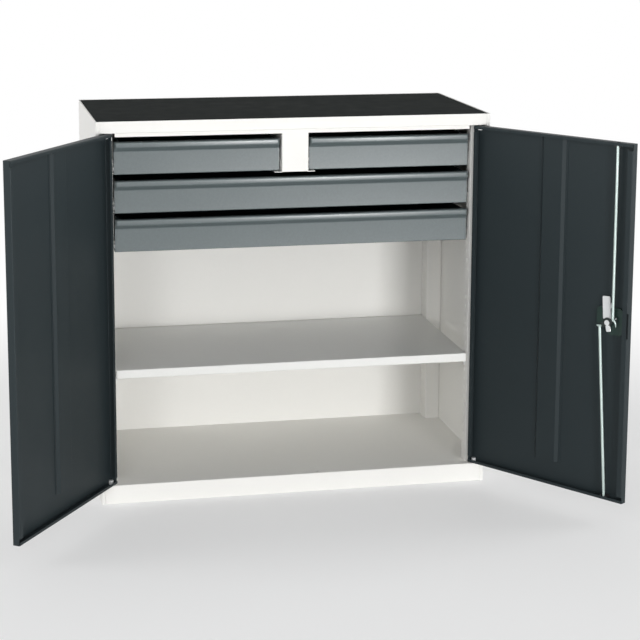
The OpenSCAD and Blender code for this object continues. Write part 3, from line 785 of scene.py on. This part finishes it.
@dataclass
class LockRod:
    """One locking rod: a round bar whose end bends into the cam's ear."""

    name: str
    pin: Pair
    guide: Pair
    tip: float
    radius: float = 3.5 * MM
    pin_radius: float = 3.0 * MM
    depth: float = 14.9 * MM
    foot: float = 8.5 * MM
    bend: float = 4.6 * MM
    spur: Pair = (-9 * MM, -17 * MM)
    spur_end: float = 0.55 * MM
    spur_thinner: float = 0.8 * MM
    spur_forward: float = 0.6 * MM
    cone: float = 1.2 * MM
    cone_start: float = 0.7 * MM
    cone_end: float = 1.8 * MM

    def hook(self) -> Shell:
        """The flattened spur past the bend.

        A tube along the curve p(t) = (1 - t)^2 a + 2t(1 - t) b + t^2 c, whose radius falls off
        as (1 - t)^0.6; b is level with a, so the spur starts sideways and ends upright.
        """
        t = np.linspace(0, 1, 12)[:, None]
        a = np.array([self.pin[0], self.depth, self.pin[1]])
        b = a + [self.spur[0] * 1.1, 0, 0.1 * self.spur[1]]
        c = a + [self.spur[0], -self.spur_forward, self.spur[1]]
        line = (1 - t) ** 2 * a + 2 * t * (1 - t) * b + t**2 * c
        radii = self.spur_end + (self.radius - self.spur_thinner) * (1 - t[:, 0]) ** 0.6
        return tube_shell(swept_tube(line, radii, 16))

    def build(self, swing: DoorSwing) -> Piece:
        """Sweeps a circle along the rod.

        The line leaves the ear at right angles, turns a quarter circle into the rod's own lean
        and runs straight to the tip, where the radius falls off in a short cone.

        Args:
            swing: Where the door stands.

        Returns:
            The rod, in the drawn place.
        """
        start = np.array(self.pin)
        aim = np.array(self.guide) - start
        aim /= np.linalg.norm(aim)
        length = (self.tip - start[1]) / aim[1]
        turn = np.radians(np.linspace(0, 90, 9))
        bent = self.bend * (1 - np.cos(turn))
        straight = np.linspace(self.bend + 4 * MM, length - 3 * MM, 5)
        along = np.concatenate([[0.0], bent, straight, [length - self.cone, length]])
        risen = self.depth - self.bend + self.bend * np.sin(turn)
        y = np.concatenate([[self.foot], risen, np.full(len(straight) + 2, self.depth)])
        swelling = np.linspace(self.pin_radius, self.radius, len(turn))
        tip = [self.radius - self.cone_start, self.radius - self.cone_end]
        radii = np.concatenate(
            [[self.pin_radius], swelling, np.full(len(straight), self.radius), tip]
        )
        flat = start[None] + aim[None] * along[:, None]
        centres = np.column_stack([flat[:, 0], y, flat[:, 1]])
        points, faces = joined([tube_shell(swept_tube(centres, radii, 24)), self.hook()])
        return solid(self.name, (swing.placed(points), faces), 50.0)


@dataclass
class Lever:
    """Lever handle on the outside of the right door, with its hub."""

    x: float = LOCK_X
    z: float = LOCK_Z
    reach: float = 112 * MM
    face: float = -14.3 * MM
    depth: float = 14 * MM
    half_width: Pair = (13 * MM, 8 * MM)
    half_depth: Pair = (7 * MM, 5.5 * MM)
    bow: Pair = (-0.2 * MM, 1.3 * MM)
    power: float = 2.6
    least: float = 0.04
    collar: Pair = (-4.3 * MM, 9 * MM)
    hub_end: float = -0.3 * MM

    def grip(self, turn: Array) -> Array:
        """The grip, a stack of rounded boxes along its length.

        Each section is the curve |a|^2.6 + |b|^2.6 = 1, whose half width falls evenly from 13 to
        8 mm and closes at both ends on a quarter circle, while its middle moves evenly outwards.

        Args:
            turn: Angles of a section's points.

        Returns:
            Loops of points, on the closed door.
        """
        first, last = self.half_width
        cap = np.linspace(0, QUARTER, 9)
        shaft = np.linspace(0.5, 8.5, 14) / 8.5
        share = np.concatenate([np.zeros_like(cap), shaft, np.ones_like(cap)])
        before = np.concatenate([-first * np.cos(cap), np.zeros(len(shaft) + len(cap))])
        after = np.concatenate([np.zeros(len(cap) + len(shaft)), last * np.sin(cap)])
        closing = np.concatenate([np.sin(cap), np.ones_like(shaft), np.cos(cap)])
        closing = np.maximum(closing, self.least)
        x = self.x + before + share * self.reach + after
        half = between(self.half_width, share) * closing
        thick = between(self.half_depth, share) * closing**0.5
        middle = self.face - self.depth / 2 + between(self.bow, share)
        a, b = (np.sign(v) * np.abs(v) ** (2 / self.power) for v in (np.cos(turn), np.sin(turn)))
        across = np.broadcast_to(x[:, None], (len(x), len(turn)))
        out = middle[:, None] + thick[:, None] * b[None]
        return np.stack([across, out, self.z + half[:, None] * a[None]], -1)

    def hub(self, turn: Array) -> Array:
        """The hub: a wide drum with a narrower collar towards the door, as loops of points."""
        step, narrow = self.collar
        wide = self.half_width[0]
        y = np.array([self.face - 1 * MM, step, step, self.hub_end])
        radii = np.array([wide, wide, narrow, narrow])[:, None]
        out = np.broadcast_to(y[:, None], (len(y), len(turn)))
        return np.stack([self.x + radii * np.cos(turn), out, self.z + radii * np.sin(turn)], -1)

    def build(self, swing: DoorSwing) -> Piece:
        """Grip and hub as one piece, in the drawn place.

        Args:
            swing: Where the door stands.

        Returns:
            The lever.
        """
        turn = np.linspace(0, 2 * np.pi, 40, endpoint=False)
        shells = [tube_shell(swing.placed(loops)) for loops in (self.grip(turn), self.hub(turn))]
        return solid("lever_handle", joined(shells), 40.0)


@dataclass
class LockCam:
    """Cam of the lock: a dark plate with an ear for each rod, a pale tail and the ears' rivets."""

    x: float = LOCK_X
    z: float = LOCK_Z
    rise: float = EAR_RISE
    front: float = 8.6 * MM
    back: float = 11.1 * MM
    hub: float = 13 * MM
    reach: float = 33 * MM
    half_ear: float = 6.3 * MM
    tail: Pair = (-3.2 * MM, -14.6 * MM)
    tail_size: Pair = (6.8 * MM, 8.2 * MM)
    tail_lean: float = 12.0
    tail_front: float = 0.1 * MM
    tail_back: float = 0.15 * MM
    chamfer: float = 0.4 * MM
    tail_chamfer: float = 0.5 * MM
    rivet_out: float = 29.5 * MM
    rivet_radius: float = 1.7 * MM
    rivet_rise: float = 0.55 * MM
    rivet_sunk: float = 0.3 * MM

    def turned(self, points: Array, degrees: float) -> Array:
        """Points of the cam's plane, turned about its middle from upward towards the hinge."""
        c, s = math.cos(math.radians(degrees)), math.sin(math.radians(degrees))
        x, z = points[:, 0], points[:, 1]
        return np.column_stack([x * c + z * s, -x * s + z * c])

    def plate(self, swing: DoorSwing) -> Piece:
        """Hub and ears: at each angle the outline is the greater of the hub and the ears' bar."""
        bar = rounded_outline(self.reach, self.half_ear, 5.0, 240)
        reach = np.linalg.norm(bar, axis=1)
        outline = self.turned(bar * (np.maximum(reach, self.hub) / reach)[:, None], self.rise)
        outline = outline + [self.x, self.z]
        points, faces = plate_shell(outline, self.front, self.back, self.chamfer)
        return solid("cam_plate", (swing.placed(points), faces), 30.0)

    def tab(self, swing: DoorSwing) -> Piece:
        """The tail, a short rounded tab below the hub."""
        outline = self.turned(rounded_outline(*self.tail_size, 6.0, 64), self.tail_lean)
        outline = outline + [self.x + self.tail[0], self.z + self.tail[1]]
        front, back = self.front - self.tail_front, self.back + self.tail_back
        points, faces = plate_shell(outline, front, back, self.tail_chamfer)
        return solid("cam_tail", (swing.placed(points), faces), 30.0)

    def rivets(self, swing: DoorSwing) -> Piece:
        """Rivet heads on the ears' ends: each a dome whose height is a quarter ellipse."""
        turn = np.linspace(0, 2 * np.pi, 24, endpoint=False)
        lift = np.radians(np.linspace(0, 86, 7))
        r = self.rivet_radius * np.cos(lift)[:, None]
        height = self.back - self.rivet_sunk + self.rivet_rise * np.sin(lift)
        y = np.broadcast_to(height[:, None], (len(lift), len(turn)))
        shells = []
        for side in (-1, 1):
            x, z = self.turned(np.array([[side * self.rivet_out, 0.0]]), self.rise)[0]
            x, z = x + self.x, z + self.z
            dome = np.stack([x + r * np.cos(turn), y, z + r * np.sin(turn)], -1)
            shells.append(tube_shell(swing.placed(dome)))
        return solid("ear_rivets", joined(shells), 60.0)


# ------------------------------------------------------------------ studio


@dataclass(frozen=True)
class Softbox:
    """A large lamp with a flat front, aimed at a point of the cabinet."""

    name: str
    place: Triple
    aim: Triple
    width: float
    height: float
    watts: float

    def build(self) -> Piece:
        """Puts the lamp into the scene with its height upright."""
        data = bpy.data.lights.new(self.name, "AREA")
        data.shape = "RECTANGLE"
        data.size = self.width
        data.size_y = self.height
        data.energy = self.watts
        lamp = bpy.data.objects.new(self.name, data)
        lamp.location = self.place
        lamp.rotation_mode = "QUATERNION"
        lamp.rotation_quaternion = (Vector(self.aim) - Vector(self.place)).to_track_quat("-Z", "Y")
        bpy.context.scene.collection.objects.link(lamp)
        return lamp


@dataclass
class Studio:
    """Floor, lamps, surroundings and camera."""

    floor_colour: Colour = (0.93, 0.93, 0.93)
    near: float = 1.1
    far: float = 2.6
    haze: float = 0.4
    world_light: float = 0.25
    eye: Triple = (-0.9270, -4.5979, 1.5846)
    yaw: float = 12.168
    pitch: float = 10.472
    roll: float = 0.255
    focal_pixels: float = 1846.0
    centre: Pair = (321.5, 226.5)
    frame: int = 640
    sensor: float = 36.0
    floor_size: float = 40.0
    paper: float = 0.9
    paper_gloss: float = 0.1
    sky: Colour = (0.97, 0.985, 1.0)
    lamps: list[Softbox] = field(
        default_factory=lambda: [
            Softbox("front_softbox", (-1.9, -4.1, 2.5), (0.1, 0.3, 0.3), 2.8, 1.8, 32.0),
            Softbox("low_softbox", (-1.9, -3.9, 0.72), (0.35, 0.25, 0.42), 0.8, 0.6, 24.0),
            Softbox("strip_softbox", (1.27, -4.5, 0.53), (0.15, 0.1, 0.7), 0.95, 1.0, 102.0),
            Softbox("left_softbox", (-4.6, 0.1, 1.8), (-0.5, 0.25, 0.6), 2.2, 2.2, 62.0),
            Softbox("right_softbox", (4.6, 0.1, 2.0), (0.5, 0.25, 0.6), 2.2, 2.2, 60.0),
            Softbox("rear_softbox", (0.5, 5.0, 0.62), (0.0, 0.5, 0.5), 2.4, 0.7, 70.0),
            Softbox("overhead_softbox", (0.2, 0.9, 4.2), (0.0, 0.3, 0.4), 3.0, 3.0, 12.0),
        ]
    )

    def floor(self) -> Piece:
        """A pale floor that keeps the cabinet's shadow and fades to white far away."""
        corners = [(a * self.floor_size, b * self.floor_size, 0.0) for a, b in SQUARE]
        mesh = bpy.data.meshes.new("studio_floor")
        mesh.from_pydata(corners, [], [[0, 1, 2, 3]])
        mesh.update()
        piece = bpy.data.objects.new("studio_floor", mesh)
        bpy.context.scene.collection.objects.link(piece)
        g = Graph("studio_floor_paper")
        g.shader.inputs["Base Color"].default_value = (*self.floor_colour, 1.0)
        g.constants(Roughness=self.paper, Specular_IOR_Level=self.paper_gloss)
        length = g.node("ShaderNodeVectorMath", operation="LENGTH")
        g.link(g.place, length.inputs[0])
        fade = g.node("ShaderNodeMapRange", interpolation_type="SMOOTHSTEP")
        fade.inputs["From Min"].default_value = self.near
        fade.inputs["From Max"].default_value = self.far
        fade.inputs["To Min"].default_value = self.haze
        g.link(length.outputs["Value"], fade.inputs["Value"])
        white = g.node("ShaderNodeEmission")
        mix = g.node("ShaderNodeMixShader")
        g.link(fade.outputs["Result"], mix.inputs["Fac"])
        g.link(g.shader.outputs["BSDF"], mix.inputs[1])
        g.link(white.outputs["Emission"], mix.inputs[2])
        rays = g.node("ShaderNodeLightPath")
        seen = g.node("ShaderNodeMath", operation="MAXIMUM")
        g.link(rays.outputs["Is Camera Ray"], seen.inputs[0])
        g.link(rays.outputs["Is Glossy Ray"], seen.inputs[1])
        plain = g.node("ShaderNodeMixShader")
        g.link(seen.outputs["Value"], plain.inputs["Fac"])
        g.link(g.shader.outputs["BSDF"], plain.inputs[1])
        g.link(mix.outputs["Shader"], plain.inputs[2])
        g.link(plain.outputs["Shader"], g.tree.nodes["Material Output"].inputs["Surface"])
        mesh.materials.append(g.material)
        return piece

    def surroundings(self) -> None:
        """White to the eye and in reflections, and a soft even light on everything else."""
        world = bpy.data.worlds.new("studio_surroundings")
        world.use_nodes = True
        tree = world.node_tree
        tree.nodes.clear()
        rays = tree.nodes.new("ShaderNodeLightPath")
        seen = tree.nodes.new("ShaderNodeMath")
        seen.operation = "MAXIMUM"
        soft = tree.nodes.new("ShaderNodeBackground")
        soft.inputs["Color"].default_value = (*self.sky, 1.0)
        soft.inputs["Strength"].default_value = self.world_light
        white = tree.nodes.new("ShaderNodeBackground")
        white.inputs["Strength"].default_value = 1.0
        white.inputs["Color"].default_value = (1.0, 1.0, 1.0, 1.0)
        mix = tree.nodes.new("ShaderNodeMixShader")
        out = tree.nodes.new("ShaderNodeOutputWorld")
        for source, target in (
            (rays.outputs["Is Camera Ray"], seen.inputs[0]),
            (rays.outputs["Is Glossy Ray"], seen.inputs[1]),
            (seen.outputs["Value"], mix.inputs["Fac"]),
            (soft.outputs["Background"], mix.inputs[1]),
            (white.outputs["Background"], mix.inputs[2]),
            (mix.outputs["Shader"], out.inputs["Surface"]),
        ):
            tree.links.new(source, target)
        bpy.context.scene.world = world

    def camera(self) -> Piece:
        """The camera at the photograph's angle, with its lens shift."""
        data = bpy.data.cameras.new("photograph_camera")
        data.sensor_width = self.sensor
        data.lens = self.focal_pixels * self.sensor / self.frame
        data.shift_x = (self.frame / 2 - self.centre[0]) / self.frame
        data.shift_y = (self.centre[1] - self.frame / 2) / self.frame
        data.clip_end = 200.0
        eye = bpy.data.objects.new("photograph_camera", data)
        turn = (
            Matrix.Rotation(math.radians(-self.yaw), 4, "Z")
            @ Matrix.Rotation(math.radians(90 - self.pitch), 4, "X")
            @ Matrix.Rotation(math.radians(self.roll), 4, "Z")
        )
        eye.matrix_world = Matrix.Translation(self.eye) @ turn
        bpy.context.scene.collection.objects.link(eye)
        bpy.context.scene.camera = eye
        return eye

    def build(self) -> None:
        """Sets up the floor, the surroundings, the lamps, the camera and the view."""
        self.floor()
        self.surroundings()
        for lamp in self.lamps:
            lamp.build()
        self.camera()
        bpy.context.scene.view_settings.view_transform = "Standard"


# ------------------------------------------------------------------ the cabinet


@dataclass
class Cabinet:
    """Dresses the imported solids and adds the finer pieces."""

    wardrobe: Wardrobe
    swing: DoorSwing = field(default_factory=DoorSwing)
    post: float = 471 * MM
    partition: float = 35 * MM
    front_gap: float = 4.5 * MM
    roller_inset: float = 5.85 * MM
    roller_rise: float = 13.5 * MM
    roller_places: dict[str, float] = field(
        default_factory=lambda: {"front": 56 * MM, "rear": 468 * MM}
    )
    ear: float = 22 * MM
    rows: dict[str, float] = field(
        default_factory=lambda: {
            "upper_left": 0.859,
            "upper_right": 0.859,
            "middle": 0.759,
            "lower": 0.659,
        }
    )

    def walls(self, drawer: str) -> Pair:
        """The two walls that a drawer runs between, in x."""
        left = self.partition if drawer == "upper_right" else -self.post
        right = -self.partition if drawer == "upper_left" else self.post
        return left, right

    def add(
        self, piece: Piece, body: str, slot: str, *nodes: str, finish: str = ""
    ) -> None:
        """Dresses a new piece, hangs it on its body and hides the solids it stands for.

        Args:
            piece: The new piece.
            body: The body it moves with.
            slot: Its material slot.
            nodes: The solids it replaces.
            finish: Its finish, where that isn't its slot's own.
        """
        self.wardrobe.dress(piece, finish or slot)
        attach(piece, body)
        if nodes:
            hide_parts(*nodes)
        log.info("piece %s rides on %s", piece.name, body)

    def dress_solids(self, frame: dict[str, Any]) -> None:
        """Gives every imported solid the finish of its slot.
        """
        for row in frame["record"]["subparts"]:
            self.wardrobe.dress(frame["nodes"][row["node"]], row["material_slot"])
        log.info("dressed %d solids", len(frame["nodes"]))

    def drawers(self) -> None:
        """Fronts and rollers of the four drawers."""
        for drawer, bottom in self.rows.items():
            left, right = self.walls(drawer)
            front = DrawerFront(drawer, left + self.front_gap, right - self.front_gap, bottom)
            self.add(front.build(), f"{drawer}_drawer", "drawer_front", f"{drawer}_drawer_front")
            middles = (left + self.roller_inset, right - self.roller_inset)
            for place, y in self.roller_places.items():
                node = f"{drawer}_{place}_rollers"
                pair = RollerPair(node, y, bottom + self.roller_rise, middles)
                self.add(pair.build(), f"{drawer}_{place}_roller_pair", "roller", node)

    def lock(self) -> None:
        """Rods, lever and cam of the lock."""
        rise = math.radians(EAR_RISE)
        dx, dz = self.ear * math.cos(rise), self.ear * math.sin(rise)
        pins = (LOCK_X - dx, LOCK_Z + dz), (LOCK_X + dx, LOCK_Z - dz)
        short = (9 * MM, 2 * MM)
        upper = LockRod("upper_rod_bar", pins[0], (49.5 * MM, 967 * MM), 964 * MM)
        lower = LockRod("lower_rod_bar", pins[1], (57 * MM, 53 * MM), 57 * MM, spur=short)
        # The rods take the darker copy of the zinc plate, a painted shade.
        self.add(upper.build(self.swing), "upper_rod", "zinc", "upper_lock_rod", finish="shaded_rod_zinc")
        self.add(lower.build(self.swing), "lower_rod", "zinc", "lower_lock_rod", finish="shaded_rod_zinc")
        self.add(Lever().build(self.swing), "lock_spindle", "black_plastic", "door_handle")
        cam = LockCam()
        self.add(cam.plate(self.swing), "lock_spindle", "dark_zinc", "lock_cam")
        self.add(cam.tab(self.swing), "lock_spindle", "zinc")
        self.add(cam.rivets(self.swing), "lock_spindle", "zinc")

    def build(self, frame: dict[str, Any]) -> None:
        """Dresses the solids and adds every finer piece.
        """
        self.dress_solids(frame)
        self.add(TopMat().build(), "cabinet", "mat", "top_mat")
        self.drawers()
        self.lock()


def main() -> None:
    """Loads the frame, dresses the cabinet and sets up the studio."""
    logging.basicConfig(level=logging.INFO, format="%(name)s: %(message)s")
    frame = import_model()
    Cabinet(Wardrobe()).build(frame)
    Studio().build()


if __name__ == "__main__":
    main()
